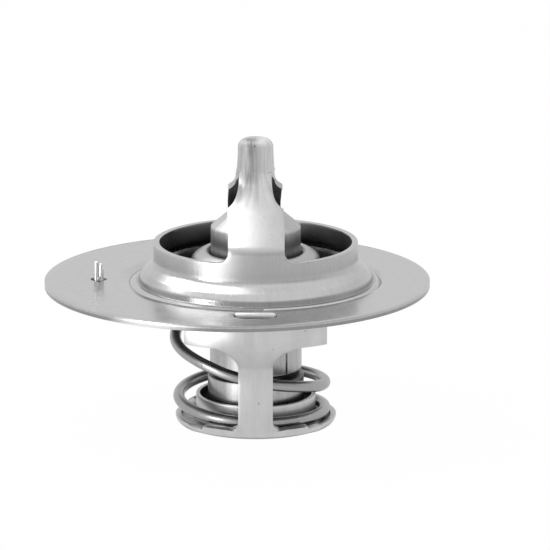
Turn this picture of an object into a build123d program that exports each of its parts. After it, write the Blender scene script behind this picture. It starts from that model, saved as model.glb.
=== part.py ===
"""An engine coolant thermostat: a wax element opens a poppet valve that a stamped flange and frame carry.

Millimetres. The origin is the centre of the flange's top face, +Z points to the bridge's nose and -Y is the front.
The valve's axis stands beside the flange's centre, so the turned pieces are revolved about VALVE_AXIS.
"""

import math
import os

from build123d import *

# Flange, one sheet with the collar and the bridge
sheet = 0.8  # thickness of both stampings
flange_r = 27.0
valve_offset = 2.6  # the valve's axis, towards +X from the flange's centre
land_width = 5.0  # the clamped ring at the flange's rim, coined a little thinner
coin_depth = 0.05

# Collar and seat, radii from the valve's axis and heights from the flange's top face
collar_r = 14.3  # outer wall
collar_height = 5.45
bead_height = 2.5  # where the seat's bead meets the collar
bead_drop = 0.9  # fall of the bead's shelf, whose underside is the valve's seat
bead_width = 1.5  # the shelf, outside the collar's middle line
bead_foot_width = 2.35
seat_gap = 0.08  # left between the closed valve and its seat

# Bridge, a drawn bell with a window in each side
shoulder_height = 7.6  # the straps rise straight up to here
waist_r = 8.2
waist_height = 11.9
neck_r = 4.8
neck_height = 14.0
nose_root_r = 2.7
nose_root_height = 15.6  # the windows end here
nose_r = 2.35
nose_height = 20.3
strap_half_width = 3.9
window_neck_half_width = 2.85
window_top_half_width = 2.35
window_foot_fillet = 1.6

# Lower frame
band_r = 16.5
band_half_width = 9.9
band_foot = 6.05  # depth of the band's lower edge under the flange's top face
leg_r = 12.3
leg_half_width = 2.4
leg_top = 9.1  # depth where the shoulders have narrowed to the leg
shoulder_half_width = 5.9
foot_depth = 20.55  # the plane that the part stands on
foot_half_width = 7.25
foot_upstand = 1.95
plate_r = 11.3
plate_lip = 0.45
ring_r = 8.4  # the drawn collar round the element
ring_height = 4.2
apron_reach = 2.3  # how far the apron lies out under the flange

# Tabs that hold the frame in the flange
tab_half_width = 2.6
tab_start = 19.9
tab_length = 1.7
tab_rise = 0.3
slot_side_gap = 0.35
slot_end_gap = 1.05  # the slots are rounded, so that the tabs' corners still pass

# Valve
valve_r = 14.1
dome_r = 9.2  # the dome's wall, inside the flat rim
dome_height = 4.6
dome_shoulder = 3.4  # height where the dome turns down into its wall

# Wax element
guide_r = 6.3
guide_shoulder = 7.65  # height where the hat's cone starts
guide_neck_r = 3.4
guide_neck_foot = 9.85
guide_top = 11.6
cavity_r = 5.0
cavity_top = 4.2
spigot_length = 3.0
sleeve_r = 6.45
sleeve_bore_r = 5.5
sleeve_depth = 13.7
crimp_r = 6.0  # the groove between the sleeve and the cup
crimp_height = 1.1
cup_r = 6.75
cup_overlap = 1.8
cup_depth = 20.0
cup_floor = 0.8
boot_r = 3.0
boot_flange = 0.8
boot_depth = 10.0
backing_ring = 0.8

# Piston
piston_r = 1.4
piston_depth = 9.0
running_gap = 0.04

# Return spring
wire_r = 0.8
coil_r = 10.5
end_coil_r = 9.7  # the ground end turns, which are centred
coil_offset = 0.8  # the free turns sit a little off the valve's axis, towards -X
# Share of the spring's height reached at each quarter turn, from the valve down to the foot
spring_fall = [0, 0.009, 0.024, 0.049, 0.094, 0.184, 0.422, 0.656, 0.78, 0.822, 0.888, 0.958, 0.978, 1, 1]
spring_quarters = 13.75  # the lower end is cut a little short of the last quarter
steps_per_quarter = 4
wire_sides = 12

# Vent pin
vent_inset = 7.6  # from the flange's rim at its -X end
vent_hole_r = 1.15
pin_r = 0.69
pin_top = 2.9
pin_lift = 1.5
button_r = 1.9
button_height = 0.9
ear_reach = 1.45
ear_height = 0.8
ear_width = 0.6
hang_gap = 0.02

valve_centre = (valve_offset, 0, 0)
valve_plane = Plane(origin=valve_centre, x_dir=(1, 0, 0), z_dir=(0, -1, 0))
VALVE_AXIS = Axis(valve_centre, (0, 0, 1))

vent_reach = flange_r - vent_inset
half_sheet = sheet / 2
wall_r = collar_r - half_sheet
bead_foot_r = wall_r + bead_foot_width
shelf_height = bead_height - half_sheet


def eased(points, ease):
    """Open (radius, height) points with each inner corner cut back by its ease, which makes a bend of two folds."""
    path = [points[0]]
    for before, corner, after, size in zip(points, points[1:], points[2:], ease):
        if not size:
            path.append(corner)
            continue
        for end in (before, after):
            way = Vector(*end) - Vector(*corner)
            cut = Vector(*corner) + way.normalized() * size
            path.append((cut.X, cut.Y))
    return path + [points[-1]]


def sheet_section(path, thickness=sheet):
    """The closed outline of a sheet whose middle line is path, mitred at its folds."""
    normals = [Vector(z0 - z1, x1 - x0).normalized() for (x0, z0), (x1, z1) in zip(path, path[1:])]
    sides = [], []
    for point, into, out in zip(path, normals[:1] + normals, normals + normals[-1:]):
        mitre = (into + out) / (1 + into.dot(out)) * thickness / 2
        sides[0].append((point[0] + mitre.X, point[1] + mitre.Y))
        sides[1].append((point[0] - mitre.X, point[1] - mitre.Y))
    return sides[0] + sides[1][::-1]


def turned(outline):
    """A solid turned about the valve's axis from the (radius, height) corners of its section."""
    with BuildPart() as body:
        with BuildSketch(valve_plane):
            with BuildLine():
                Polyline(*outline, close=True)
            make_face()
        revolve(axis=VALVE_AXIS)
    return body.part


def save(part, name):
    part.label = name
    export_step(part, f"parts/{name}.step")
    return part


os.makedirs("parts", exist_ok=True)

# Flange, collar and bridge: one stamping.
# The wall is traced along its middle line, from the flange over the seat's bead, up the collar and over the bell.
wall_path = eased(
    [
        (bead_foot_r + 2 * sheet, -half_sheet),
        (bead_foot_r, -half_sheet),
        (wall_r + bead_width, shelf_height - bead_drop),
        (wall_r, shelf_height),
        (wall_r, shoulder_height - half_sheet),
        (waist_r - half_sheet, waist_height - half_sheet),
        (neck_r - half_sheet, neck_height - half_sheet),
        (nose_root_r - half_sheet, nose_root_height),
        (nose_r - half_sheet, nose_root_height + 2.2),
        (nose_r - half_sheet, nose_height - half_sheet),
        (0, nose_height - half_sheet),
    ],
    [0, 0.35, 0, 0.6, 0.8, 0.8, 0.5, 0, 0.8],
)
with BuildPart() as flange_bridge:
    add(turned(sheet_section(wall_path)))

    # The windows: what lies outside the straps' front outline is cut away, down to the collar's rim.
    with BuildSketch(valve_plane) as window:
        with BuildLine():
            Polyline(
                (strap_half_width, collar_height),
                (strap_half_width, waist_height - 0.2),
                (window_neck_half_width, waist_height + 0.6),
                (window_top_half_width, neck_height),
                (window_top_half_width, nose_root_height),
                (collar_r + 1, nose_root_height),
                (collar_r + 1, collar_height),
                close=True,
            )
        make_face()
        window_foot = Vector(strap_half_width, collar_height)
        fillet(window.vertices().sort_by_distance(window_foot)[0], window_foot_fillet)
        fillet([v for v in window.vertices() if waist_height < v.Y < neck_height and v.X < strap_half_width], 0.9)
        mirror(about=Plane.YZ)
    extrude(amount=collar_r + 1, both=True, mode=Mode.SUBTRACT)

    # The disc, centred beside the valve's axis.
    with BuildSketch(Plane.XY):
        Circle(flange_r)
        with Locations((valve_offset, 0)):
            Circle(bead_foot_r + sheet, mode=Mode.SUBTRACT)
        with Locations((-vent_reach, 0)):
            Circle(vent_hole_r, mode=Mode.SUBTRACT)
    extrude(amount=-sheet)
    for face_height in (0, -sheet + coin_depth):
        with BuildSketch(Plane.XY.offset(face_height)):
            Circle(flange_r)
            Circle(flange_r - land_width, mode=Mode.SUBTRACT)
        extrude(amount=-coin_depth, mode=Mode.SUBTRACT)

    # Slots for the frame's tabs, front and back.
    slot_middle = tab_start + tab_length / 2
    slot_radius = 0.9 * (tab_length / 2 + slot_end_gap)
    with BuildSketch(Plane.XY):
        with Locations((valve_offset, slot_middle), (valve_offset, -slot_middle)):
            RectangleRounded(2 * (tab_half_width + slot_side_gap), tab_length + 2 * slot_end_gap, slot_radius)
    extrude(amount=-sheet, mode=Mode.SUBTRACT)
save(flange_bridge.part, "flange_bridge")

# Lower frame: one stamping. Its apron lies under the flange, the band drops from it and slopes in to the legs.
band_mid_r = band_r - half_sheet
leg_mid_r = leg_r - half_sheet
plate_mid = -foot_depth + half_sheet
leg_path = eased(
    [
        (band_r + apron_reach, -sheet - half_sheet),
        (band_mid_r, -sheet - half_sheet),
        (band_mid_r, -band_foot + 0.6),
        (leg_mid_r, -leg_top - 1.3),
        (leg_mid_r, plate_mid),
        (plate_r - 2, plate_mid),
    ],
    [0.5, 1.2, 1.2, 1.5],
)
plate_path = eased(
    [
        (plate_r - half_sheet, -foot_depth + sheet + plate_lip),
        (plate_r - half_sheet, plate_mid),
        (ring_r - half_sheet, plate_mid),
        (ring_r - half_sheet, -foot_depth + ring_height),
    ],
    [0.5, 0],
)
with BuildPart() as lower_frame:
    add(turned(sheet_section(leg_path)))

    # The front outline of band, shoulders, legs and feet.
    with BuildSketch(valve_plane) as outline:
        with BuildLine():
            Line((0, 0), (band_half_width, 0))
            Line((band_half_width, 0), (band_half_width, -band_foot))
            Line((band_half_width, -band_foot), (shoulder_half_width, -band_foot))
            RadiusArc((shoulder_half_width, -band_foot), (leg_half_width, -leg_top), 3.9, short_sagitta=True)
            Line((leg_half_width, -leg_top), (leg_half_width, -foot_depth + foot_upstand + 1))
            RadiusArc(
                (leg_half_width, -foot_depth + foot_upstand + 1),
                (leg_half_width + 1, -foot_depth + foot_upstand),
                1,
            )
            Line((leg_half_width + 1, -foot_depth + foot_upstand), (foot_half_width, -foot_depth + foot_upstand))
            Line((foot_half_width, -foot_depth + foot_upstand), (foot_half_width, -foot_depth))
            Line((foot_half_width, -foot_depth), (0, -foot_depth))
            Line((0, -foot_depth), (0, 0))
        make_face()
        mirror(about=Plane.YZ)
    extrude(amount=band_r + apron_reach + 1, both=True, mode=Mode.INTERSECT)

    # The foot plate, whose rim and middle are turned up.
    add(turned(sheet_section(plate_path)))

    # Tabs through the flange's slots, front and back.
    with BuildSketch(Plane.XY.offset(-2 * sheet)):
        with Locations((valve_offset, slot_middle), (valve_offset, -slot_middle)):
            Rectangle(2 * tab_half_width, tab_length)
    extrude(amount=2 * sheet + tab_rise)
    with BuildSketch(Plane.XY.offset(-2 * sheet)):
        for side in (1, -1):
            with Locations((valve_offset, side * (band_r + 1.5))):
                Rectangle(2 * tab_half_width, 2 * (tab_start + tab_length - band_r - 1.5))
    extrude(amount=sheet)
save(lower_frame.part, "lower_frame")

# Valve disc: a rolled hub, a dome and a flat rim that closes under the bead's shelf.
shelf_slope = bead_drop / bead_width
seat_height = shelf_height - shelf_slope * (valve_r - wall_r) - half_sheet * math.hypot(1, shelf_slope)
rim_mid = seat_height - seat_gap - half_sheet
valve_path = eased(
    [
        (guide_r + half_sheet, 0),
        (guide_r + half_sheet, dome_height - half_sheet),
        (dome_r - half_sheet, dome_shoulder - half_sheet),
        (dome_r - half_sheet, rim_mid),
        (valve_r, rim_mid),
    ],
    [0.7, 0.5, 0],
)
save(turned(sheet_section(valve_path)), "valve_disc")

# Wax element, from the guide at the top to the cup at the bottom.
save(
    turned(
        [
            (piston_r + running_gap, cavity_top),
            (piston_r + running_gap, guide_top),
            (guide_neck_r, guide_top),
            (guide_neck_r, guide_neck_foot),
            (guide_r, guide_shoulder),
            (guide_r, 0),
            (sleeve_bore_r, 0),
            (sleeve_bore_r, -spigot_length),
            (cavity_r, -spigot_length),
            (cavity_r, cavity_top),
        ]
    ),
    "guide",
)
save(
    turned(
        [
            (sleeve_bore_r, 0),
            (sleeve_r, 0),
            (sleeve_r, -sleeve_depth + crimp_height),
            (crimp_r, -sleeve_depth + crimp_height),
            (crimp_r, -sleeve_depth - cup_overlap),
            (sleeve_bore_r, -sleeve_depth - cup_overlap),
        ]
    ),
    "sleeve",
)
save(
    turned(
        [
            (crimp_r, -sleeve_depth),
            (cup_r, -sleeve_depth),
            (cup_r, -cup_depth + 1),
            (cup_r - 1, -cup_depth),
            (0, -cup_depth),
            (0, -cup_depth + cup_floor),
            (crimp_r, -cup_depth + cup_floor),
        ]
    ),
    "element_cup",
)
boot_top = cavity_top - backing_ring
save(
    turned(
        [
            (piston_r + running_gap, boot_top),
            (cavity_r, boot_top),
            (cavity_r, cavity_top),
            (piston_r + running_gap, cavity_top),
        ]
    ),
    "backing_ring",
)
save(
    turned(
        [
            (piston_r + running_gap, boot_top),
            (piston_r + running_gap, -piston_depth - running_gap),
            (0, -piston_depth - running_gap),
            (0, -boot_depth),
            (boot_r, -boot_depth),
            (boot_r, boot_top - boot_flange),
            (cavity_r, boot_top - boot_flange),
            (cavity_r, boot_top),
        ]
    ),
    "rubber_boot",
)
save(
    turned(
        [
            (boot_r, boot_top - boot_flange),
            (cavity_r, boot_top - boot_flange),
            (cavity_r, -spigot_length),
            (sleeve_bore_r, -spigot_length),
            (sleeve_bore_r, -cup_depth + cup_floor),
            (0, -cup_depth + cup_floor),
            (0, -boot_depth),
            (boot_r, -boot_depth),
        ]
    ),
    "wax_charge",
)
save(
    turned(
        [
            (0, -piston_depth),
            (piston_r, -piston_depth),
            (piston_r, nose_height - sheet - 0.8),
            (piston_r - 0.6, nose_height - sheet),
            (0, nose_height - sheet),
        ]
    ),
    "piston",
)

# Return spring, under the valve's rim: its pitch opens and closes down to the foot.
spring_top = rim_mid - half_sheet - seat_gap - wire_r
spring_foot = -foot_depth + sheet + wire_r


def fall_at(quarter):
    """Share of the spring's height at a quarter-turn position, a cubic between its neighbours."""
    left = min(int(quarter), len(spring_fall) - 2)
    part_way = quarter - left
    before, start, end, after = (spring_fall[min(max(left + k, 0), len(spring_fall) - 1)] for k in (-1, 0, 1, 2))
    into, out = (end - before) / 2, (after - start) / 2
    square, cube = part_way**2, part_way**3
    return (
        start * (2 * cube - 3 * square + 1)
        + into * (cube - 2 * square + part_way)
        + end * (3 * square - 2 * cube)
        + out * (cube - square)
    )


coil_points = []
for step in range(int(spring_quarters * steps_per_quarter) + 1):
    quarter = step / steps_per_quarter
    turn = math.radians(90 * quarter)
    from_end = min(quarter, spring_quarters - quarter)
    bulge = min(max((from_end - 1.3) / 3.4, 0), 1)
    radius = end_coil_r + (coil_r - end_coil_r) * bulge
    coil_points.append(
        (
            valve_offset - coil_offset * bulge + radius * math.cos(turn),
            radius * math.sin(turn),
            spring_top + (spring_foot - spring_top) * fall_at(quarter),
        )
    )
with BuildPart() as spring:
    with BuildLine():
        coil = Polyline(*coil_points)
    with BuildSketch(Plane(origin=coil @ 0, z_dir=coil % 0)):
        RegularPolygon(wire_r, wire_sides)
    sweep(path=coil, transition=Transition.RIGHT)
save(spring.part, "spring")

# Vent pin: a headed rod hanging in the flange by its crimped ears.
pin_foot = -sheet - pin_lift - button_height
with BuildPart() as jiggle_pin:
    with BuildSketch(Plane.XZ):
        with BuildLine():
            Polyline(
                (0, pin_foot),
                (button_r - 0.3, pin_foot),
                (button_r, pin_foot + 0.3),
                (button_r, pin_foot + button_height),
                (pin_r, pin_foot + button_height),
                (pin_r, pin_top - 0.4),
                (0.4 * pin_r, pin_top),
                (0, pin_top),
                close=True,
            )
        make_face()
    revolve(axis=Axis.Z)
    with BuildSketch(Plane.XY.offset(hang_gap)):
        Rectangle(ear_width, 2 * ear_reach)
    extrude(amount=ear_height)
jiggle_pin.part.position = (-vent_reach, 0, 0)
save(jiggle_pin.part, "jiggle_pin")
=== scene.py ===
"""An engine coolant thermostat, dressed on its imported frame: stamped and turned metal on a pale floor."""

import math

import bmesh
import bpy
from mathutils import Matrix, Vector


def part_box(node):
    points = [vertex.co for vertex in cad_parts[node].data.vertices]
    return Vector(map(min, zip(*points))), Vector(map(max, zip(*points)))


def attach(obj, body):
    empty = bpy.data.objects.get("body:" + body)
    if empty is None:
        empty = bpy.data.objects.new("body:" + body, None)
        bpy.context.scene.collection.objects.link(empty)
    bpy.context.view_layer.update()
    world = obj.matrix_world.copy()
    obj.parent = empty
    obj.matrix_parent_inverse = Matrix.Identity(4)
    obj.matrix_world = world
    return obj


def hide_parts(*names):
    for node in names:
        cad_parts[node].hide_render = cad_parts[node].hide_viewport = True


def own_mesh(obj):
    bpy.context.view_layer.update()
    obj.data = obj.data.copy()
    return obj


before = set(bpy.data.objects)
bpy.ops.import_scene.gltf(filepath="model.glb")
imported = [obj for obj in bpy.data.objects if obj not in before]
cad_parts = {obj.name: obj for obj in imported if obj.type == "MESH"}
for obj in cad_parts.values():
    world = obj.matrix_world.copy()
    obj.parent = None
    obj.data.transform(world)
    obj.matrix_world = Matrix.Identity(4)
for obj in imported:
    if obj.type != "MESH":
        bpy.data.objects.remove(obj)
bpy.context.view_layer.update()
mm = 0.001


# ---- Flange with its collar and bridge -------------------------------------------------------------------
# One piece of satin stainless sheet: a round flange, a bead that is the valve's seat, a collar and a drawn
# bell whose sides are pierced, so that two straps and a closed nose are left over the valve.

flange_low, flange_high = (Vector(corner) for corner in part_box("flange_bridge"))
valve_low, valve_high = (Vector(corner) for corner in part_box("valve_disc"))
axis_x = (valve_low.x + valve_high.x) / 2
flange_r = (flange_high.x - flange_low.x) / 2
sheet = -flange_low.z
nose_top = flange_high.z

collar_r = 14.3 * mm
rim_height = 5.45 * mm
strap_half = 3.9 * mm
strap_foot_fillet = 1.6 * mm
window_top_half = 2.25 * mm
waist_height = 11.43 * mm
strap_flare = 0.8 * mm
window_close = 15.6 * mm
strap_columns = 13
side_columns = 70


def rounded(points, radii, steps=6):
    """Open (r, z) points with each inner corner replaced by an arc of its radius."""
    path = [Vector(points[0])]
    for before, corner, after, radius in zip(points, points[1:], points[2:], radii):
        corner = Vector(corner)
        into = (Vector(before) - corner).normalized()
        out = (Vector(after) - corner).normalized()
        half = math.acos(max(-1, min(1, into.dot(out)))) / 2
        reach = radius / math.tan(half)
        middle = corner + (into + out).normalized() * radius / math.sin(half)
        first, last = corner + into * reach - middle, corner + out * reach - middle
        sweep = math.pi - 2 * half
        for k in range(steps + 1):
            share = k / steps
            arm = first * math.sin((1 - share) * sweep) + last * math.sin(share * sweep)
            path.append(middle + arm / math.sin(sweep))
    return path + [Vector(points[-1])]


def dense(path, step):
    """The path with points no further apart than step."""
    points = []
    for first, last in zip(path, path[1:]):
        pieces = max(1, math.ceil((last - first).length / step))
        points += [first.lerp(last, k / pieces) for k in range(pieces)]
    return points + [path[-1]]


def mitres(path):
    """For each point of a path, the step to its left that keeps a sheet's thickness even round a bend."""
    normals = [(last - first).orthogonal().normalized() for first, last in zip(path, path[1:])]
    pairs = zip(normals[:1] + normals, normals + normals[-1:])
    return [(into + out) / (1 + into.dot(out)) for into, out in pairs]


def quads(bm, rows, closed=False):
    """Faces between rows of vertices of equal length."""
    for lower, upper in zip(rows, rows[1:]):
        count = len(lower)
        for k in range(count if closed else count - 1):
            ring = [lower[k], lower[(k + 1) % count], upper[(k + 1) % count], upper[k]]
            unique = list(dict.fromkeys(ring))
            if len(unique) > 2:
                bm.faces.new(unique)


def new_piece(name, bm):
    """A new object in the scene, with bm as its mesh."""
    mesh = bpy.data.meshes.new(name)
    bm.to_mesh(mesh)
    bm.free()
    piece = bpy.data.objects.new(name, mesh)
    bpy.context.scene.collection.objects.link(piece)
    return piece


def polar(angle, radius, height):
    """A point at an angle from the front, turning towards +X."""
    return axis_x + radius * math.sin(angle), -radius * math.cos(angle), height


class Pressing:
    """A sheet-metal piece drawn as its middle surface, whose points know where the sheet's two faces lie."""

    widest = 0.996  # share of the radius that a strap may span, so that a window stays open up to its tip

    def __init__(self, thickness):
        self.bm = bmesh.new()
        self.half = thickness / 2
        self.faces = {}

    def point(self, angle, place, way):
        """A point at an angle about the axis. The angle may be a rule that gives it from the radius."""
        ends = []
        for end in (place + way * self.half, place - way * self.half):
            ends.append(Vector(polar(angle(end.x) if callable(angle) else angle, end.x, end.y)))
        vertex = self.bm.verts.new((ends[0] + ends[1]) / 2)
        self.faces[vertex] = ends
        return vertex

    def strip(self, side, places, ways, widths, shares, shifts=None, rolls=None):
        """Rows across a strap whose edges are cut straight from front to back.

        A shift moves the strap sideways, and a roll turns its left edge in.
        """
        rows = []
        level = [0.0] * len(places)
        shifts, rolls = shifts or level, rolls or level
        for place, way, width, shift, roll in zip(places, ways, widths, shifts, rolls):
            row = []
            for share in shares:

                def angle(radius):
                    first = math.asin(max(-self.widest, (shift - width) / radius))
                    last = math.asin(min(self.widest, (shift + width) / radius))
                    return side + (first + last) / 2 + share * (last - first) / 2

                turned_in = roll * max(0, (-share - 0.6) / 0.4) ** 2
                row.append(self.point(angle, place - way * turned_in, way))
            rows.append(row)
        return rows

    def solid(self, name):
        """Both faces of the sheet, and the edge round every opening."""
        rings = [list(face.verts) for face in self.bm.faces]
        rims = [list(edge.verts) for edge in self.bm.edges if edge.is_boundary]
        middle = list(self.bm.verts)
        over, under = ({v: self.bm.verts.new(self.faces[v][side]) for v in middle} for side in (0, 1))
        for ring in rings:
            self.bm.faces.new([over[vertex] for vertex in ring])
            self.bm.faces.new([under[vertex] for vertex in reversed(ring)])
        for first, last in rims:
            self.bm.faces.new([over[first], over[last], under[last], under[first]])
        bmesh.ops.delete(self.bm, geom=middle, context="VERTS")
        bmesh.ops.recalc_face_normals(self.bm, faces=self.bm.faces)
        return new_piece(name, self.bm)


def apply_modifiers(piece):
    """Bakes the piece's modifiers into its mesh."""
    evaluated = piece.evaluated_get(bpy.context.evaluated_depsgraph_get())
    mesh = bpy.data.meshes.new_from_object(evaluated)
    piece.modifiers.clear()
    old = piece.data
    piece.data = mesh
    bpy.data.meshes.remove(old)


def soften(piece, width):
    """Rounds the piece's sharp edges and shades it smooth."""
    bevel = piece.modifiers.new("edges", "BEVEL")
    bevel.width = width
    bevel.segments = 2
    bevel.limit_method = "ANGLE"
    bevel.angle_limit = math.radians(40)
    bevel.use_clamp_overlap = True
    apply_modifiers(piece)
    for face in piece.data.polygons:
        face.use_smooth = True


def cut(piece, tool, operation="DIFFERENCE"):
    """Takes the tool out of the piece, or joins it on, and deletes the tool."""
    modifier = piece.modifiers.new("cut", "BOOLEAN")
    modifier.operation = operation
    modifier.solver = "EXACT"
    modifier.object = tool
    apply_modifiers(piece)
    bpy.data.objects.remove(tool)


def strap_width(height, half, top_half, waist, torn):
    """Half width of a strap at a height: a fillet at the rim, upright sides, then a flare in to the nose."""
    above = height - rim_height
    if above < strap_foot_fillet:
        return half + strap_foot_fillet - math.sqrt(strap_foot_fillet**2 - (strap_foot_fillet - above) ** 2)
    if height < waist:
        return half
    width = top_half + (half - top_half) * math.exp((waist - height) / strap_flare)
    ragged = abs(math.sin(height * 9100)) + 0.7 * abs(math.sin(height * 15700 + 1))
    return width + torn * ragged


half_sheet = sheet / 2
wall_r = collar_r - half_sheet
wall = rounded(
    [
        (wall_r + 3.2 * mm, -half_sheet),
        (wall_r + 2.2 * mm, -half_sheet),
        (wall_r + 2.06 * mm, 0.6 * mm),
        (wall_r + 1.5 * mm, 1.35 * mm),
        (wall_r, 2.5 * mm),
        (wall_r, rim_height),
    ],
    [0.5 * mm, 0.7 * mm, 1.3 * mm, 1.6 * mm],
)
bell = rounded(
    [
        (wall_r, rim_height),
        (wall_r, 7.25 * mm),
        (7.9 * mm, 11.4 * mm),
        (3.05 * mm, 14.1 * mm),
        (2.22 * mm, 15.9 * mm),
        (2.1 * mm, 17.8 * mm),
        (2.06 * mm, nose_top - half_sheet - 0.1 * mm),
        (0.0, nose_top - half_sheet),
    ],
    [1.3 * mm, 14.0 * mm, 3.6 * mm, 2.6 * mm, 3.0 * mm, 0.8 * mm],
    steps=12,
)

foot_angle = math.asin((strap_half + strap_foot_fillet) / wall_r)
columns = []
for side in (0, math.pi):
    columns += [side - foot_angle + 2 * foot_angle * k / (strap_columns - 1) for k in range(strap_columns)]
    gap = math.pi - 2 * foot_angle
    columns += [side + foot_angle + gap * (k + 1) / (side_columns + 1) for k in range(side_columns)]

stamping = Pressing(sheet)
rows = []
flange_rings = 10
for step in range(flange_rings):
    row = []
    for angle in columns:
        across = axis_x * math.sin(angle)
        rim = -across + math.sqrt(flange_r**2 - axis_x**2 + across**2)
        place = Vector((wall[0].x + (rim - wall[0].x) * (1 - step / flange_rings), -half_sheet))
        row.append(stamping.point(angle, place, Vector((0, 1))))
    rows.append(row)
wall = dense(wall, 0.4 * mm)
for place, way in zip(wall, mitres(wall)):
    rows.append([stamping.point(angle, place, way) for angle in columns])
quads(stamping.bm, rows, closed=True)

bell = dense(bell, 0.2 * mm)
bell_ways = mitres(bell)
closed_from = next(k for k, place in enumerate(bell) if place.y > window_close)
turns = 2 * (strap_columns - 1)
nose = [
    [stamping.point(math.pi * (2 * k / turns - 0.5), place, way) for k in range(turns)]
    for place, way in zip(bell[closed_from:-1], bell_ways[closed_from:-1])
]
tip = stamping.point(0, bell[-1], Vector((0, 1)))
quads(stamping.bm, nose + [[tip] * turns], closed=True)

places, ways = bell[1:closed_from], bell_ways[1:closed_from]
shares = [2 * k / (strap_columns - 1) - 1 for k in range(strap_columns)]
shift_from, shift_length = 9 * mm, 3 * mm
roll_middle, roll_length, roll_depth = 13 * mm, 1.3 * mm, 0.4 * mm
# Each strap: side, first column, half width, half width at the top, waist, torn edge, shift low and high.
straps = (
    (0, 0, strap_half, window_top_half, waist_height, 0.0, 0.13 * mm, -0.04 * mm),
    (math.pi, strap_columns + side_columns, 3.75 * mm, 2.55 * mm, 12.0 * mm, 0.09 * mm, 0.25 * mm, 0.08 * mm),
)
for side, start, half, top_half, waist, torn, low_shift, high_shift in straps:
    widths = [strap_width(place.y, half, top_half, waist, torn) for place in places]
    risen = [max(0, min(1, (place.y - shift_from) / shift_length)) for place in places]
    shifts = [low_shift + (high_shift - low_shift) * share for share in risen]
    roll = roll_depth if side == 0 else 0.0
    rolls = [roll * math.exp(-(((place.y - roll_middle) / roll_length) ** 2)) for place in places]
    strap = [rows[-1][start : start + strap_columns]]
    strap += stamping.strip(side, places, ways, widths, shares, shifts, rolls)
    first = 0 if side == 0 else strap_columns - 1
    strap.append([nose[0][(first + k) % turns] for k in range(strap_columns)])
    quads(stamping.bm, strap)
flange = stamping.solid("flange_and_bridge")


def slab(name, half_x, half_y, middle, half_z, radius=0.0, turns=6):
    """A block with rounded upright corners, standing at middle."""
    bm = bmesh.new()
    outline = []
    for quarter, (sx, sy) in enumerate(((1, 1), (-1, 1), (-1, -1), (1, -1))):
        for k in range(turns + 1 if radius else 1):
            angle = math.pi / 2 * (quarter + k / turns)
            outline.append(
                (
                    middle[0] + sx * (half_x - radius) + radius * math.cos(angle),
                    middle[1] + sy * (half_y - radius) + radius * math.sin(angle),
                )
            )
    layers = [[bm.verts.new((x, y, middle[2] + z)) for x, y in outline] for z in (-half_z, half_z)]
    quads(bm, layers, closed=True)
    bm.faces.new(layers[0][::-1])
    bm.faces.new(layers[1])
    bmesh.ops.recalc_face_normals(bm, faces=bm.faces)
    return new_piece(name, bm)


pin_low, pin_high = (Vector(corner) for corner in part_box("jiggle_pin"))
pin_x = (pin_low.x + pin_high.x) / 2
slot_middle = 20.75 * mm
hole_r = 1.15 * mm
through = 2 * mm
cut(flange, slab("hole", hole_r, hole_r, (pin_x, 0, 0), through, radius=1.149 * mm, turns=8))
for side in (1, -1):
    place = (axis_x, side * slot_middle, 0)
    cut(flange, slab("slot", 3.0 * mm, 1.9 * mm, place, through, radius=1.8 * mm, turns=10))
soften(flange, 0.12 * mm)


class Socket:
    """A shader socket that takes part in sums and products."""

    def __init__(self, tree, link):
        self.tree, self.link = tree, link

    def maths(self, operation, other=None, swapped=False):
        """A Math node on this socket and, where it takes one, another socket or number."""
        node = self.tree.nodes.new("ShaderNodeMath")
        node.operation = operation
        values = [self, other] if not swapped else [other, self]
        for slot, value in zip(node.inputs, values):
            if isinstance(value, Socket):
                self.tree.links.new(value.link, slot)
            elif value is not None:
                slot.default_value = value
        return Socket(self.tree, node.outputs[0])

    def __add__(self, other):
        return self.maths("ADD", other)

    __radd__ = __add__

    def __sub__(self, other):
        return self.maths("SUBTRACT", other)

    def __rsub__(self, other):
        return self.maths("SUBTRACT", other, swapped=True)

    def __mul__(self, other):
        return self.maths("MULTIPLY", other)

    __rmul__ = __mul__

    def __pow__(self, other):
        return self.maths("POWER", other)

    def clamped(self):
        return self.maths("MAXIMUM", 0.0).maths("MINIMUM", 1.0)

    def ramp(self, start, length):
        """0 up to start, then rising to 1 over a length."""
        return ((self - start) * (1 / length)).clamped()


class Nodes:
    """A node tree under construction."""

    def __init__(self, tree):
        self.tree = tree

    def node(self, kind, settings=None, **values):
        """A node of a kind: its settings are made first, then the values or links of its sockets."""
        node = self.tree.nodes.new(kind)
        for key, value in (settings or {}).items():
            setattr(node, key, value)
        for key, value in values.items():
            slot = node.inputs[key.replace("_", " ")]
            if isinstance(value, Socket):
                self.tree.links.new(value.link, slot)
            elif isinstance(value, bpy.types.NodeSocket):
                self.tree.links.new(value, slot)
            else:
                slot.default_value = value
        return node

    def parts(self, vector):
        """The three sockets of a vector."""
        return [Socket(self.tree, part) for part in self.node("ShaderNodeSeparateXYZ", Vector=vector).outputs]


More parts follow.
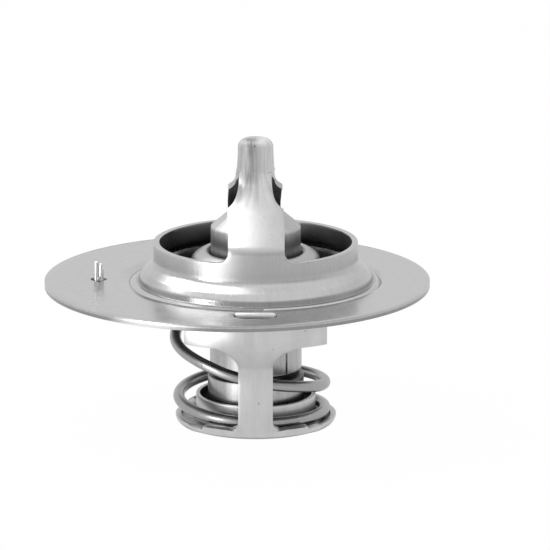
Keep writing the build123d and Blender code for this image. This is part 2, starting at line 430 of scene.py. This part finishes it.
class Finish(Nodes):
    """A node material under construction."""

    def __init__(self, name):
        self.material = bpy.data.materials.new(name)
        self.material.use_nodes = True
        super().__init__(self.material.node_tree)
        self.tree.nodes.clear()
        self.place = self.node("ShaderNodeTexCoord").outputs["Object"]

    def noise(self, scale, detail=2.0, vector=None, roughness=0.5):
        place = vector or self.place
        node = self.node("ShaderNodeTexNoise", Vector=place, Scale=scale, Detail=detail, Roughness=roughness)
        return Socket(self.tree, node.outputs["Fac"])

    def stretched(self, x, y, z):
        """Object coordinates about the valve's axis, scaled along each direction."""
        start = (-axis_x * x, 0, 0)
        node = self.node("ShaderNodeMapping", Vector=self.place, Location=start, Scale=(x, y, z))
        return node.outputs["Vector"]

    def round_axis(self, round_scale, height_scale, radius_scale):
        """Coordinates that follow a turned piece: angle, height and radius about the valve's axis."""
        x, y, z = self.parts(self.place)
        across = x - axis_x
        radius = (across * across + y * y) ** 0.5
        angle = across.maths("ARCTAN2", y)
        joined = self.node(
            "ShaderNodeCombineXYZ", X=angle * round_scale, Y=z * height_scale, Z=radius * radius_scale
        )
        return joined.outputs[0]

    def close(self, grey, rough, bump, depth, metallic=1.0, tint=(1, 1, 1)):
        """Ends the material in a Principled shader. grey and bump are sockets, rough a socket or a number."""
        mixed = self.node("ShaderNodeMix", {"data_type": "RGBA", "clamp_factor": True})
        factor, black, full = (mixed.inputs[k] for k in (0, 6, 7))
        self.tree.links.new(grey.link, factor)
        black.default_value = (0, 0, 0, 1)
        full.default_value = (*tint, 1)
        raised = self.node("ShaderNodeBump", Strength=0.6, Distance=depth, Height=bump)
        shader = self.node(
            "ShaderNodeBsdfPrincipled",
            Base_Color=mixed.outputs[2],
            Metallic=metallic,
            Roughness=rough,
            Normal=raised.outputs[0],
        )
        self.node("ShaderNodeOutputMaterial", Surface=shader.outputs[0])
        return self.material


def satin(
    name,
    grey,
    rough,
    drawn=0.06,
    mottle=0.05,
    streaks=0.0,
    streaks_from=-1.0,
    painted_shade_inside=None,
    worn_and_nose_shade=0.0,
    painted_shade=(),
):
    """Satin metal: fine grain, marks drawn along the press's stroke, soft clouds and a few dark specks.

    Streaks run upright above the height streaks_from. Below a given height and within a given radius, the
    inside, shade is painted into the colour, deeper further down. Worn metal is rougher towards the top,
    where the tool has marked it, and its nose gets painted light: a darker streak on the front left of centre
    for a dark reflection, and a lighter right side where light falls. A zone of painted shade is its inner
    and outer radius, low and high end and soft edge, in mm, and the share of the shade that is left.
    """
    finish = Finish(name)
    x, y, z = finish.parts(finish.place)
    across = x - axis_x
    marks = finish.noise(1.0, detail=4, vector=finish.round_axis(40, 260, 900))
    clouds = finish.noise(260, detail=3)
    grain = finish.noise(5200, detail=2)
    pits = finish.noise(1500, detail=1)
    speck = ((pits - 0.74) * 9).clamped()
    shade = grey + drawn * (marks - 0.5) + mottle * (clouds - 0.5) + 0.08 * (grain - 0.5) - 0.22 * speck
    roughness = rough + 0.20 * (clouds - 0.5) + 0.10 * (grain - 0.5) + 0.25 * speck
    height = 0.4 * grain + 1.5 * marks - 2 * speck
    if worn_and_nose_shade:
        roughness = roughness + worn_and_nose_shade * z.ramp(0.0, 16 * mm)
        # Painted shade: a darker streak on the front of the nose, left of centre, stands in for a dark
        # reflection.
        high_up = z.ramp(11.5 * mm, 2.5 * mm)
        painted_streak_noise = finish.noise(1.0, detail=4, vector=finish.stretched(2600, 0, 190), roughness=0.6)
        left_of_centre = (1.25 - ((across + 0.8 * mm) * (1 / (1.15 * mm))).maths("ABSOLUTE")).clamped()
        in_front = (y * (-1 / (0.5 * mm))).clamped()
        painted_streak_shade = high_up * left_of_centre * in_front * (0.55 + 1.4 * (painted_streak_noise - 0.5)).clamped()
        # Painted light: the nose's right side is made lighter where light falls on it.
        nose = z.ramp(13.8 * mm, 1.5 * mm)
        shade = shade + 0.18 * nose * across.ramp(-0.3 * mm, 1.5 * mm) - 0.34 * painted_streak_shade
        roughness = roughness + 0.15 * painted_streak_shade
    if streaks:
        above = z.ramp(streaks_from, 2 * mm)
        run = finish.noise(1.0, detail=4, vector=finish.round_axis(7, 130, 0))
        shade = shade + above * (streaks * (run - 0.5))
        height = height + above * (4 * run)
    from_axis = (across**2 + y**2) ** 0.5
    # Painted shade: each zone darkens the colour to the share of the shade that is left.
    for inner, outer, low, high, edge, left in painted_shade:
        zone = 1 - left
        for room in (from_axis - inner * mm, outer * mm - from_axis, z - low * mm, high * mm - z):
            zone = zone * room.ramp(0.0, edge * mm)
        shade = shade * (1 - zone)
    # Painted shade: within the given radius the colour darkens with depth below the given height.
    if painted_shade_inside:
        radius, top = painted_shade_inside
        reach = radius + 1.2 * (2.2 * mm - z).maths("MAXIMUM", 0.0)
        within = (reach - from_axis).ramp(0.0, 0.2 * mm)
        depth = (top - z).ramp(0.0, 3.5 * mm)
        shade = shade * (1 - 0.84 * within * depth)
    return finish.close(shade, roughness, height, 0.012 * mm)


def dress(piece, material, body, slot, *nodes):
    """Gives a piece its finish and body, in place of the solids that it stands for. Its slot is not used."""
    piece.data.materials.clear()
    piece.data.materials.append(material)
    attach(piece, body)
    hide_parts(*nodes)


# Painted shade: the crease at the bead's foot keeps 0.7 of its shade, and the rim's lower edge and the
# flange's underside keep 0.6; the collar's inside darkens with depth.
bead_foot_shade = (15.9, 16.9, -0.5, 0.9, 0.25, 0.7)
rim_and_underside_shade = (17, 40, -0.9, -0.30, 0.08, 0.6)
sheet_metal = satin(
    "satin_sheet",
    0.49,
    0.24,
    drawn=0.10,
    mottle=0.09,
    streaks=0.35,
    streaks_from=11 * mm,
    painted_shade_inside=(collar_r - 0.5 * mm, rim_height),
    worn_and_nose_shade=0.30,
    painted_shade=[bead_foot_shade, rim_and_underside_shade],
)
dress(flange, sheet_metal, "frame", "stamped_steel", "flange_bridge")


# ---- Valve disc ------------------------------------------------------------------------------------------
# A pressed poppet of the same sheet: a rolled hub grips the element, a dome falls from it, and the flat rim
# closes under the bead of the flange.


def turned(name, outline, turns=128, round_edge=0.0):
    """A closed solid of revolution about the valve's axis from a closed (r, z) outline."""
    bm = bmesh.new()
    rings = []
    for radius, height in outline:
        if radius < 1e-6:
            rings.append([bm.verts.new((axis_x, 0, height))] * turns)
        else:
            rings.append([bm.verts.new(polar(2 * math.pi * k / turns, radius, height)) for k in range(turns)])
    quads(bm, rings + rings[:1], closed=True)
    loose = [v for v in bm.verts if not v.link_faces]
    bmesh.ops.delete(bm, geom=loose, context="VERTS")
    bmesh.ops.recalc_face_normals(bm, faces=bm.faces)
    piece = new_piece(name, bm)
    if round_edge:
        soften(piece, round_edge)
    else:
        for face in piece.data.polygons:
            face.use_smooth = True
    return piece


def sheet_outline(path, thickness):
    """Both sides of a sheet whose middle line is path, as one closed outline."""
    steps = [way * thickness / 2 for way in mitres(path)]
    over = [point + step for point, step in zip(path, steps)]
    under = [point - step for point, step in zip(path, steps)]
    return over + under[::-1]


guide_r = 6.3 * mm
valve_r = (valve_high.x - valve_low.x) / 2
valve_rim_mid = 1.1 * mm
valve_path = rounded(
    [
        (guide_r + half_sheet, 0.02 * mm),
        (guide_r + half_sheet, 4.3 * mm),
        (8.7 * mm, 3.2 * mm),
        (8.85 * mm, valve_rim_mid),
        (valve_r, valve_rim_mid),
    ],
    [0.6 * mm, 1.3 * mm, 0.9 * mm],
    steps=8,
)
valve = turned("valve_poppet", sheet_outline(valve_path, sheet), round_edge=0.08 * mm)
# Painted shade: the poppet's flat rim beyond 9 mm from the axis is darkened almost to black, where the collar
# shades it.
valve_metal = satin("satin_poppet", 0.42, 0.36, drawn=0.05, mottle=0.1, painted_shade=[(9.0, 20, -5, 9, 0.3, 0.05)])
dress(valve, valve_metal, "valve", "valve_steel", "valve_disc")


# ---- Wax element -----------------------------------------------------------------------------------------
# A turned guide stands through the poppet, and a drawn sleeve and cup hang below it with the wax inside.
# The sleeve's seam shows as a thin run of solder at its front right.

guide_top = Vector(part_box("guide")[1]).z
piston_bore = 1.44 * mm
guide = turned(
    "element_guide",
    [
        *rounded(
            [
                (piston_bore, guide_top),
                (2.4 * mm, guide_top),
                (2.4 * mm, 10.3 * mm),
                (3.55 * mm, 10.3 * mm),
                (4.1 * mm, 9.55 * mm),
                (guide_r, 7.7 * mm),
                (guide_r, 0.0),
            ],
            [0.4 * mm, 0.05 * mm, 0.3 * mm, 0.6 * mm, 0.5 * mm],
        ),
        Vector((piston_bore, 0.0)),
    ],
)
ring_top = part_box("lower_frame")[0][2] + 4.2 * mm
sleeve_low = Vector(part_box("sleeve")[0]).z
cup_low, cup_high = (Vector(corner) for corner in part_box("element_cup"))
cup_r = (cup_high.x - cup_low.x) / 2
sleeve_r = 6.45 * mm
crimp_r = 6.0 * mm
cup_top = -13.35 * mm
sleeve_bore = 5.5 * mm
sleeve = turned(
    "element_sleeve",
    rounded(
        [
            (sleeve_bore, 0.0),
            (sleeve_r, 0.0),
            (sleeve_r, -12.6 * mm),
            (crimp_r, -12.75 * mm),
            (crimp_r, sleeve_low),
            (sleeve_bore, sleeve_low),
        ],
        [0.15 * mm, 0.2 * mm, 0.3 * mm, 0.01 * mm],
    ),
)
seam_middle = (axis_x + 4.19 * mm, -4.60 * mm, -7.35 * mm)
seam = slab("seam", 0.28 * mm, 0.3 * mm, seam_middle, 5.3 * mm, radius=0.27 * mm)
cut(sleeve, seam, "UNION")
for face in sleeve.data.polygons:
    face.use_smooth = abs(face.normal.z) < 0.9
cup_floor = cup_low.z + 0.8 * mm
cup = turned(
    "element_cup_shell",
    [
        *rounded(
            [(crimp_r, cup_top), (cup_r, cup_top), (cup_r, cup_low.z), (0.0, cup_low.z)],
            [0.3 * mm, 1.3 * mm],
        ),
        Vector((0.0, cup_floor)),
        Vector((crimp_r, cup_floor)),
    ],
)
# Painted shade: the guide's lower part, below 7 mm and down by the poppet, keeps 0.7 of its shade.
guide_foot_shade = (-3, 20, -5, 7.0, 2.5, 0.7)
turned_metal = satin("turned_plate", 0.46, 0.46, drawn=0.14, mottle=0.05, streaks=0.4, painted_shade=[guide_foot_shade])
dress(guide, turned_metal, "valve", "turned_metal", "guide")
# Painted shade: the crimp groove between sleeve and cup, and the cup down inside the frame's ring, are
# darkened nearly to black.
crimp_groove_shade = (-3, 20, -13.7, -12.6, 0.2, 0.12)
shade_down_in_the_ring = (-3, 20, -30, ring_top / mm - 0.4, 0.4, 0.1)
drawn_metal = satin(
    "drawn_plate", 0.44, 0.30, drawn=0.10, mottle=0.10, streaks=0.25, painted_shade=[crimp_groove_shade, shade_down_in_the_ring]
)
dress(sleeve, drawn_metal, "valve", "element_metal", "sleeve")
dress(cup, drawn_metal, "valve", "element_metal", "element_cup")


def hidden(node, material):
    """A CAD piece kept as it is, with its own finish."""
    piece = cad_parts[node]
    piece.data.materials.clear()
    piece.data.materials.append(material)


rubber = Finish("black_rubber")
rubber_grey = 0.03 + 0.02 * rubber.noise(900)
hidden("rubber_boot", rubber.close(rubber_grey, 0.7, rubber.noise(3000), 0.02 * mm, metallic=0.0))
wax = Finish("filled_wax")
wax_grey = 0.45 + 0.2 * wax.noise(1800)
hidden("wax_charge", wax.close(wax_grey, 0.6, wax.noise(1200), 0.02 * mm, metallic=0.0, tint=(1, 0.72, 0.45)))
ring = Finish("white_ring")
ring_grey = 0.75 + 0.05 * ring.noise(900)
hidden("backing_ring", ring.close(ring_grey, 0.4, ring.noise(2500), 0.005 * mm, metallic=0.0))


# ---- Piston ----------------------------------------------------------------------------------------------
# A ground steel rod that stands in the guide, its rounded head in the bridge's nose.

ground = Finish("ground_steel")
scratches = ground.noise(1.0, detail=3, vector=ground.round_axis(4, 9000, 0))
hidden("piston", ground.close(0.62 + 0.1 * scratches, 0.18 + 0.1 * scratches, scratches, 0.002 * mm))


# ---- Lower frame -----------------------------------------------------------------------------------------
# One pressed sheet: an apron under the flange, a band, two legs that the band slopes in to, and a foot plate
# with an upturned rim and a drawn collar round the element. Its tabs are peened in the flange's slots.

foot_z = Vector(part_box("lower_frame")[0]).z
plate_mid = foot_z + half_sheet
band_r = 16.5 * mm
band_foot = -6.05 * mm
band_half = 9.9 * mm
leg_r = 12.3 * mm
leg_half = 2.4 * mm
leg_top = -9.1 * mm
leg_root_half = 3.3 * mm
funnel_half = 5.9 * mm
foot_half = 7.25 * mm
foot_rise = foot_z + 1.95 * mm
lip_rise = foot_z + sheet + 0.45 * mm
plate_r = 11.3 * mm
ring_r = 8.4 * mm


def hollow(share, power=2.0):
    """A hollow corner's fall from 1 to 0, steep at first, then level. A power of 2 is a quarter circle."""
    return 1 - (1 - (1 - max(0, min(1, share))) ** power) ** (1 / power)


def leg_width(height):
    """Half width of the leg: rooted in the foot by a fillet, parallel, then spread in to the band."""
    if height < foot_rise + 1.0 * mm:
        return leg_half + (leg_root_half - leg_half) * hollow((height - foot_rise) / (1.0 * mm))
    if height < leg_top:
        return leg_half
    return leg_half + (funnel_half - leg_half) * (hollow((band_foot - height) / (band_foot - leg_top), 1.6))


def leg_share(angle):
    """How far the plate's rim has come forward to meet a leg, from 0 at the sides to 1."""
    near = max(0, min(1, (abs(math.cos(angle)) - 0.52) / 0.22))
    return near * near * (3 - 2 * near)


def evenly(path, count):
    """A path as count points at equal steps along it."""
    lengths = [0.0]
    for first, last in zip(path, path[1:]):
        lengths.append(lengths[-1] + (last - first).length)
    points, k = [], 0
    for step in range(count):
        want = lengths[-1] * step / (count - 1)
        while k < len(path) - 2 and lengths[k + 1] < want:
            k += 1
        points.append(path[k].lerp(path[k + 1], (want - lengths[k]) / (lengths[k + 1] - lengths[k])))
    return points


shares = [k / 12 - 0.5 for k in range(13)]
root_shares = [2 * share * leg_root_half for share in shares]
foot_sides = [leg_root_half + (foot_half - leg_root_half) * (k + 1) / 9 for k in range(9)]
foot_across = [-x for x in reversed(foot_sides)] + root_shares + foot_sides
band_sides = [funnel_half + (band_half - funnel_half) * (k + 1) / 6 for k in range(6)]
band_across = [-x for x in reversed(band_sides)] + [2 * share * funnel_half for share in shares] + band_sides

pressing = Pressing(sheet)
foot_angles = [math.asin(x / (leg_r - half_sheet)) for x in foot_across]
rim_angles = []
rim_columns = 40
for side in (0, math.pi):
    rim_angles += [side + angle for angle in foot_angles]
    gap = math.pi - 2 * foot_angles[-1]
    rim_angles += [side + foot_angles[-1] + gap * (k + 1) / (rim_columns + 1) for k in range(rim_columns)]
paths = []
collar_points = 20  # the path starts down the collar, from above the lip
for angle in rim_angles:
    near = leg_share(angle)
    reach = plate_r + (leg_r - plate_r) * near - half_sheet
    collar = ring_r - half_sheet
    corners = [(collar, ring_top), (collar, plate_mid), (reach, plate_mid), (reach, leg_top)]
    path = rounded(corners, [0.8 * mm, (0.8 + 1.6 * near) * mm], steps=16)
    turned_up = next(k for k, point in enumerate(path) if k > collar_points and point.y > lip_rise)
    above, below = path[turned_up], path[turned_up - 1]
    path = path[:turned_up] + [below.lerp(above, (lip_rise - below.y) / (above.y - below.y))]
    path = evenly(path, 42)
    thinned = []
    for place, way in zip(path, mitres(path)):
        up_the_collar = max(0, min(1, (place.y - plate_mid - 0.8 * mm) / (1.0 * mm)))
        drawn = 0.32 * up_the_collar if place.x < ring_r else 0
        thinned.append((place + Vector((half_sheet * drawn, 0)), way * (1 - drawn)))
    paths.append(thinned)
plate = []
for k in range(len(paths[0])):
    plate.append([pressing.point(angle, *path[k]) for angle, path in zip(rim_angles, paths)])
quads(pressing.bm, plate, closed=True)

leg_path = dense(
    rounded(
        [
            (ring_r, plate_mid),
            (leg_r - half_sheet, plate_mid),
            (leg_r - half_sheet, leg_top - 1.3 * mm),
            (band_r - half_sheet, band_foot + 0.6 * mm),
            (band_r - half_sheet, -sheet - half_sheet),
            (band_r + 2.3 * mm, -sheet - half_sheet),
        ],
        [2.4 * mm, 4.5 * mm, 3.5 * mm, 0.8 * mm],
        steps=16,
    ),
    0.1 * mm,
)
leg_ways = mitres(leg_path)
foot_from = next(k for k, place in enumerate(leg_path) if place.y > lip_rise + 0.03 * mm)
leg_from = next(k for k, place in enumerate(leg_path) if place.y > foot_rise)
band_from = next(k for k, place in enumerate(leg_path) if place.y > band_foot)
foot_places = list(zip(leg_path, leg_ways))[foot_from:leg_from]
for side, start in ((0, 0), (math.pi, len(foot_across) + rim_columns)):
    foot = [plate[-1][start : start + len(foot_across)]]
    for place, way in foot_places:
        corner = hollow((foot_rise - place.y) / (0.55 * mm))
        taper = (foot_half - 0.5 * mm * corner - leg_root_half) / (foot_half - leg_root_half)
        row = []
        for x in foot_across:
            beyond = abs(x) - leg_root_half
            x = x if beyond < 0 else math.copysign(leg_root_half + beyond * taper, x)
            from_root = (abs(x) - 3.0 * mm) / (0.75 * mm)
            from_bend = (place.y - foot_z - 1.5 * mm) / (0.7 * mm)
            pinch = math.exp(-(from_root**2) - from_bend**2)
            row.append(pressing.point(side + math.asin(x / place.x), place - way * 0.3 * mm * pinch, way))
        foot.append(row)
    quads(pressing.bm, foot)
    places, ways = leg_path[leg_from:band_from:2], leg_ways[leg_from:band_from:2]
    leg = [foot[-1][len(foot_sides) : len(foot_sides) + len(shares)]]
    widths = [leg_width(place.y) for place in places]
    leg += pressing.strip(side, places, ways, widths, [2 * share for share in shares])
    places, ways = leg_path[band_from::2], leg_ways[band_from::2]
    band = pressing.strip(side, places, ways, [band_half] * len(places), [x / band_half for x in band_across])
    quads(pressing.bm, leg + [band[0][len(band_sides) : len(band_sides) + len(shares)]])
    quads(pressing.bm, band)
lower = pressing.solid("pressed_frame")


def bar(name, half_length, radius, middle):
    """A round bar along X with domed ends."""
    bm = bmesh.new()
    bmesh.ops.create_uvsphere(bm, u_segments=20, v_segments=11, radius=radius)
    for vertex in bm.verts:
        vertex.co.x += math.copysign(half_length - radius, vertex.co.x) if abs(vertex.co.x) > 1e-6 else 0
        vertex.co += Vector(middle)
    return new_piece(name, bm)


tab_middle = 19.75 * mm
tongue_middle = 19.6 * mm
for side in (1, -1):
    tab = slab("tab", 2.7 * mm, 0.5 * mm, (axis_x, side * tab_middle, -1.0 * mm), 0.8 * mm, radius=0.4 * mm)
    cut(lower, tab, "UNION")
    ridge = bar("peened_ridge", 2.9 * mm, 0.5 * mm, (axis_x, side * tab_middle, -0.33 * mm))
    cut(lower, ridge, "UNION")
    tongue = slab("tongue", 2.6 * mm, 1.9 * mm, (axis_x, side * tongue_middle, -1.2 * mm), half_sheet * 0.995)
    cut(lower, tongue, "UNION")
soften(lower, 0.09 * mm)
# Painted shade: nearly black inside the frame's collar, about half on the plate's floor round the spring, and
# 0.3 on the apron and tabs under the flange.
shade_inside_collar = (2, 8.0, -30, -10, 0.2, 0.1)
plate_floor_shade = (8.0, 11.3, -30, foot_z / mm + 1.4, 0.3, 0.55)
shade_under_the_flange = (17.5, 24, -3, -0.3, 0.3, 0.3)
frame_metal = satin(
    "satin_frame",
    0.62,
    0.36,
    drawn=0.08,
    mottle=0.12,
    streaks=0.16,
    painted_shade=[shade_inside_collar, plate_floor_shade, shade_under_the_flange],
)
dress(lower, frame_metal, "frame", "frame_steel", "lower_frame")


# ---- Return spring ---------------------------------------------------------------------------------------
# Drawn wire wound left-handed, with closed ends. It stands on the foot plate and bears under the poppet's
# rim.
# The turns are pulled apart unevenly, and the free ones sit a little to one side.

spring_low, spring_high = (Vector(corner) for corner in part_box("spring"))
wire_r = 0.8 * mm
spring_top = spring_high.z - wire_r
spring_foot = spring_low.z + wire_r
coil_r = 10.5 * mm
end_coil_r = 9.7 * mm
coil_offset = 0.8 * mm
# How far the wire has fallen, as a share of the way to the foot, at each quarter turn from the top.
fall = [(0, 0), (1, 0.009), (2, 0.024), (3, 0.049), (4, 0.094), (5, 0.184), (6, 0.422), (6.5, 0.512)]
fall += [(7, 0.628), (7.5, 0.714), (8, 0.78), (9, 0.822), (10, 0.888), (11, 0.958), (12, 0.978)]
fall += [(13, 1), (14, 1)]
listed_quarters = fall[-1][0]
quarters = 13.75


spring_sizes = {
    "Wire radius": wire_r,
    "Coil radius": coil_r,
    "End radius": end_coil_r,
    "Offset": coil_offset,
    "Top": spring_top,
    "Foot": spring_foot,
    "Quarters": quarters,
    "Axis": axis_x,
}


def spring_tree(material):
    """Winds the wire: a line of points is bent into the coil by its share of the way down."""
    tree = bpy.data.node_groups.new("wound_wire", "GeometryNodeTree")
    face = tree.interface
    face.new_socket("Geometry", in_out="OUTPUT", socket_type="NodeSocketGeometry")
    for name in spring_sizes:
        face.new_socket(name, in_out="INPUT", socket_type="NodeSocketFloat")
    nodes = Nodes(tree)
    given = nodes.node("NodeGroupInput").outputs
    size = {name: Socket(tree, given[name]) for name in spring_sizes}

    count = 331
    line = nodes.node("GeometryNodeMeshLine", Count=count)
    share = Socket(tree, nodes.node("GeometryNodeInputIndex").outputs[0]) * (1 / (count - 1))
    along_quarters = share * size["Quarters"]
    fall_curve = nodes.node("ShaderNodeFloatCurve", Value=along_quarters * (1 / listed_quarters))
    points = fall_curve.mapping.curves[0].points
    while len(points) < len(fall):
        points.new(0.5, 0.5)
    for point, (quarter, value) in zip(points, fall):
        point.location = (quarter / listed_quarters, value)
        point.handle_type = "AUTO_CLAMPED"
    fall_curve.mapping.update()
    fallen = Socket(tree, fall_curve.outputs[0])
    from_end = along_quarters.maths("MINIMUM", size["Quarters"] - along_quarters)
    bulge = ((from_end - 1.3) * 0.29).clamped()
    radius = size["End radius"] + (size["Coil radius"] - size["End radius"]) * bulge
    turn = along_quarters * (math.pi / 2)
    place = nodes.node(
        "ShaderNodeCombineXYZ",
        X=size["Axis"] - size["Offset"] * bulge + radius * turn.maths("COSINE"),
        Y=radius * turn.maths("SINE"),
        Z=size["Top"] + (size["Foot"] - size["Top"]) * fallen,
    )
    bent = nodes.node("GeometryNodeSetPosition", Geometry=line.outputs[0], Position=place.outputs[0])
    wire = nodes.node("GeometryNodeMeshToCurve", Mesh=bent.outputs[0]).outputs[0]
    section = nodes.node("GeometryNodeCurvePrimitiveCircle", Resolution=24, Radius=size["Wire radius"])
    tube = nodes.node(
        "GeometryNodeCurveToMesh", Curve=wire, Profile_Curve=section.outputs[0], Fill_Caps=True
    )
    smooth = nodes.node("GeometryNodeSetShadeSmooth", Geometry=tube.outputs[0])
    real = nodes.node("GeometryNodeRealizeInstances", Geometry=smooth.outputs[0])
    painted = nodes.node("GeometryNodeSetMaterial", Geometry=real.outputs[0], Material=material)
    nodes.node("NodeGroupOutput", Geometry=painted.outputs[0])
    return tree


wire_metal = satin("drawn_wire", 0.38, 0.30, drawn=0.08, mottle=0.08)
spring = new_piece("wound_spring", bmesh.new())
winding = spring.modifiers.new("winding", "NODES")
winding.node_group = spring_tree(wire_metal)
for socket in winding.node_group.interface.items_tree:
    if socket.in_out == "INPUT":
        winding[socket.identifier] = spring_sizes[socket.name]
apply_modifiers(spring)
dress(spring, wire_metal, "frame", "spring_steel", "spring")
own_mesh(spring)


# ---- Vent pin --------------------------------------------------------------------------------------------
# A small loose rod that rattles in its hole to let air past: headed below, its shank squeezed into two ears
# above so that it hangs in the flange.

pin_r = 0.69 * mm
head_r = 1.9 * mm
head_top = pin_low.z + 0.9 * mm
pin_top = pin_high.z - 0.3 * mm
lobe_r = 0.37 * mm
pin = turned(
    "vent_pin",
    rounded(
        [
            (0.0, pin_low.z),
            (head_r, pin_low.z),
            (head_r, head_top),
            (pin_r, head_top),
            (pin_r, -0.2 * mm),
            (0.0, -0.2 * mm),
        ],
        [0.3 * mm, 0.2 * mm, 0.15 * mm, 0.05 * mm],
    ),
    turns=48,
)
for across, drop in ((-0.31 * mm, 0.0), (0.31 * mm, 0.28 * mm)):
    low, high = -1.5 * mm, pin_top - drop
    outline = rounded([(0.0, low), (lobe_r, low), (lobe_r, high), (0.0, high)], [0.02 * mm, 0.34 * mm])
    lobe = turned("lobe", outline, turns=32)
    for vertex in lobe.data.vertices:
        vertex.co.x += across
    cut(pin, lobe, "UNION")
for vertex in pin.data.vertices:
    vertex.co.x += pin_x - axis_x
ears = slab("ears", 0.2 * mm, 1.35 * mm, (pin_x, 0, 0.3 * mm), 0.2 * mm, radius=0.15 * mm)
cut(pin, ears, "UNION")
# The lobes meet in slivers, which are welded before the edges are rounded.
bm = bmesh.new()
bm.from_mesh(pin.data)
bmesh.ops.remove_doubles(bm, verts=bm.verts, dist=0.004 * mm)
bmesh.ops.dissolve_degenerate(bm, edges=bm.edges, dist=0.002 * mm)
bm.to_mesh(pin.data)
bm.free()
soften(pin, 0.06 * mm)
pin_metal = satin("bright_pin", 0.66, 0.16, drawn=0.03)
dress(pin, pin_metal, "vent_pin", "pin_metal", "jiggle_pin")


# ---- Floor, light and camera -----------------------------------------------------------------------------
# A plain white floor and surround, a large soft lamp high on the left and a small low one at the left front.
# What the metal mirrors of the floor is painted light: a painted shadow close to the part, and a painted glow
# brighter than white out on the left.

floor_mesh = bmesh.new()
bmesh.ops.create_grid(floor_mesh, x_segments=1, y_segments=1, size=3.0)
for vertex in floor_mesh.verts:
    vertex.co.z = foot_z
floor = new_piece("floor", floor_mesh)


def rays(nodes):
    """Light Path's camera rays, and the rays that reflect or pass through, as sockets."""
    path = nodes.node("ShaderNodeLightPath").outputs
    glossy_rays = Socket(nodes.tree, path["Is Glossy Ray"])
    passing_rays = Socket(nodes.tree, path["Is Transmission Ray"])
    return Socket(nodes.tree, path["Is Camera Ray"]), glossy_rays.maths("MAXIMUM", passing_rays)


floor_finish = Finish("white_floor")
camera_rays, mirrored_rays = rays(floor_finish)
ground_x, ground_y, _ = floor_finish.parts(floor_finish.place)
from_axis = ((ground_x - axis_x) ** 2 + ground_y**2) ** 0.5
# Painted shadow and painted glow, seen only in reflections: darker near the part, and a bright patch out on
# the left.
clear_of_painted_shadow = from_axis.ramp(7 * mm, 4 * mm)
painted_glow_side = ((ground_x * -0.72 + ground_y * -0.69).maths("DIVIDE", from_axis) - 0.88) * 10
painted_floor_light = 0.12 + 0.80 * clear_of_painted_shadow + 2.6 * painted_glow_side.clamped() * clear_of_painted_shadow
matt = floor_finish.node("ShaderNodeBsdfDiffuse", Color=(0.9, 0.9, 0.9, 1))
glow = floor_finish.node(
    "ShaderNodeEmission", Color=(1, 1, 1, 1), Strength=camera_rays + (1 - camera_rays) * painted_floor_light
)
mix = floor_finish.node("ShaderNodeMixShader", Fac=camera_rays * 0.985 + mirrored_rays * 0.9)
for slot, shader in zip(mix.inputs[1:], (matt, glow)):
    floor_finish.tree.links.new(shader.outputs[0], slot)
floor_finish.node("ShaderNodeOutputMaterial", Surface=mix.outputs[0])
floor.data.materials.append(floor_finish.material)

world = bpy.data.worlds.new("white_surround")
world.use_nodes = True
bpy.context.scene.world = world
world.node_tree.nodes.clear()
surround = Nodes(world.node_tree)
camera_rays, mirrored_rays = rays(surround)
_, back, up = surround.parts(surround.node("ShaderNodeTexCoord").outputs["Generated"])
behind = back.ramp(-0.30, 1 / 3)
above = up.ramp(0.38, 1 / 3)
mirrored = mirrored_rays * (0.68 + 0.22 * behind.maths("MAXIMUM", above) + 0.20 * above)
spread = (1 - camera_rays - mirrored_rays) * 0.5
strength = camera_rays + mirrored + spread
background = surround.node("ShaderNodeBackground", Color=(1, 1, 1, 1), Strength=strength)
surround.node("ShaderNodeOutputWorld", Surface=background.outputs[0])

middle = Vector((axis_x + 2.7 * mm, 0, 0.6 * mm))


def softbox(name, azimuth, elevation, distance, size, power):
    """A soft rectangular lamp turned to the part, at an azimuth and elevation in degrees."""
    lamp = bpy.data.lights.new(name, "AREA")
    lamp.shape = "RECTANGLE"
    lamp.size, lamp.size_y = size
    lamp.energy = power
    holder = bpy.data.objects.new(name, lamp)
    bpy.context.scene.collection.objects.link(holder)
    a, e = math.radians(azimuth), math.radians(elevation)
    way = Vector((math.sin(a) * math.cos(e), -math.cos(a) * math.cos(e), math.sin(e)))
    holder.location = middle + way * distance
    holder.rotation_euler = (-way).to_track_quat("-Z", "Y").to_euler()


softbox("key", -114, 59, 0.5, (0.28, 0.42), 1.35)
softbox("left", -52, 12, 0.6, (0.20, 0.22), 0.8)

scene = bpy.context.scene
scene.view_settings.view_transform = "Standard"
camera = bpy.data.cameras.new("camera")
camera.type = "PERSP"
distance = 0.85
frame_width = 77.1 * mm
sensor = 36
camera.sensor_width = sensor
camera.lens = sensor * distance / frame_width
camera.clip_end = 10
holder = bpy.data.objects.new("camera", camera)
scene.collection.objects.link(holder)
tilt = math.radians(13.8)
way = Vector((0, -math.cos(tilt), math.sin(tilt)))
holder.location = middle + way * distance
holder.rotation_euler = (math.pi / 2 - tilt, 0, 0)
scene.camera = holder
